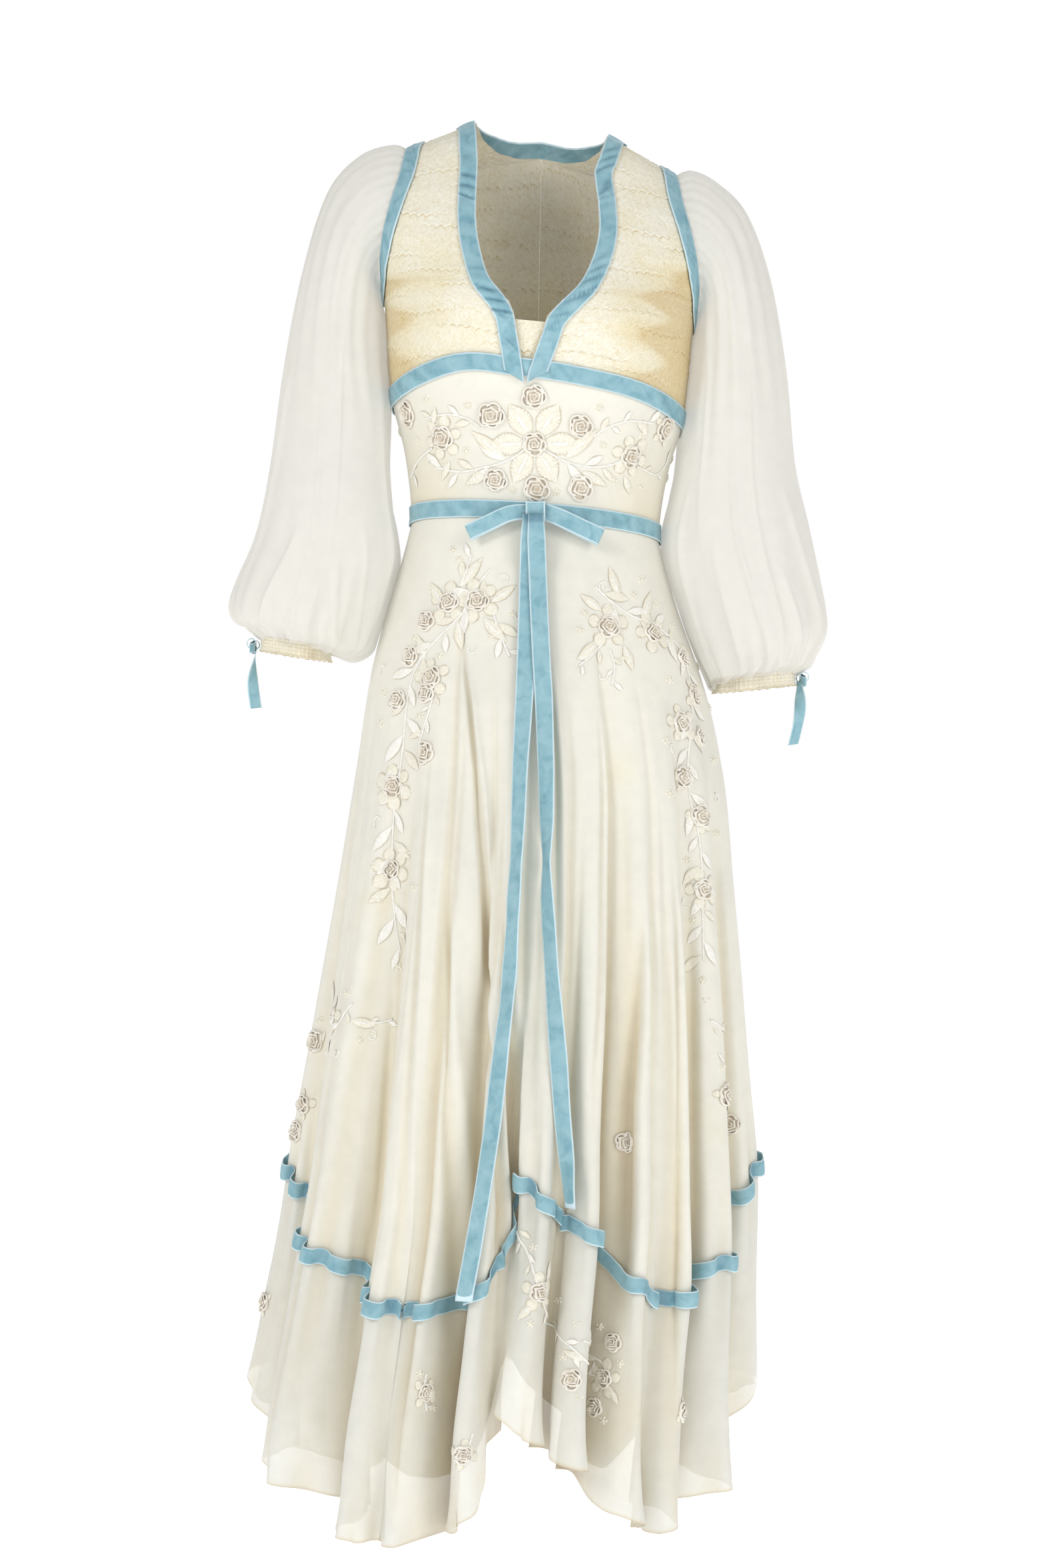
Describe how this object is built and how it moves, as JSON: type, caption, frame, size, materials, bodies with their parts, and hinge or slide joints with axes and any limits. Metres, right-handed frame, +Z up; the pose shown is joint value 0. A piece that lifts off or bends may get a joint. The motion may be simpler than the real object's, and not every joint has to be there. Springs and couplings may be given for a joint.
{
  "type": "silk maxi dress",
  "caption": "Full-length silk dress with lace bodice, velvet ribbon trim, rose-trimmed midriff, sheer bishop sleeves and a fluted skirt with a handkerchief tier.",
  "frame": {"origin": "middle of the shoulder seams, where the wearer's shoulders hold the dress", "axes": "+Z up, -Y the front of the dress, +X the left side of the wearer"},
  "size_m": [0.5932, 0.4526, 1.3638],
  "materials": {
    "silk": "cream silk chiffon",
    "lace": "cream embroidered eyelet lace",
    "velvet": "blue velvet ribbon",
    "sheer": "sheer silk chiffon",
    "lining": "plain silk lining"
  },
  "bodies": {
    "root": {"armhole_ribbon_left": "velvet", "armhole_ribbon_right": "velvet", "bodice_back_left": "lace", "bodice_back_right": "lace", "bodice_front_left": "lace", "bodice_front_right": "lace", "bow_knot": "velvet", "bow_loop_left": "velvet", "bow_loop_right": "velvet", "cuff_bow_left": "velvet", "cuff_bow_right": "velvet", "cuff_left": "sheer", "cuff_right": "sheer", "hem_ribbon_back": "velvet", "hem_ribbon_front": "velvet", "lining_back": "lining", "lining_front": "lining", "midriff_back_left": "silk", "midriff_back_right": "silk", "midriff_front": "silk", "neck_ribbon_back": "velvet", "neck_ribbon_left": "velvet", "neck_ribbon_right": "velvet", "notch_inset": "lace", "skirt_back": "silk", "skirt_front": "silk", "sleeve_left": "sheer", "sleeve_right": "sheer", "tail_left": "velvet", "tail_right": "velvet", "tier_back": "silk", "tier_front": "silk", "underbust_ribbon": "velvet", "waist_ribbon": "velvet"}
  },
  "joints": []
}
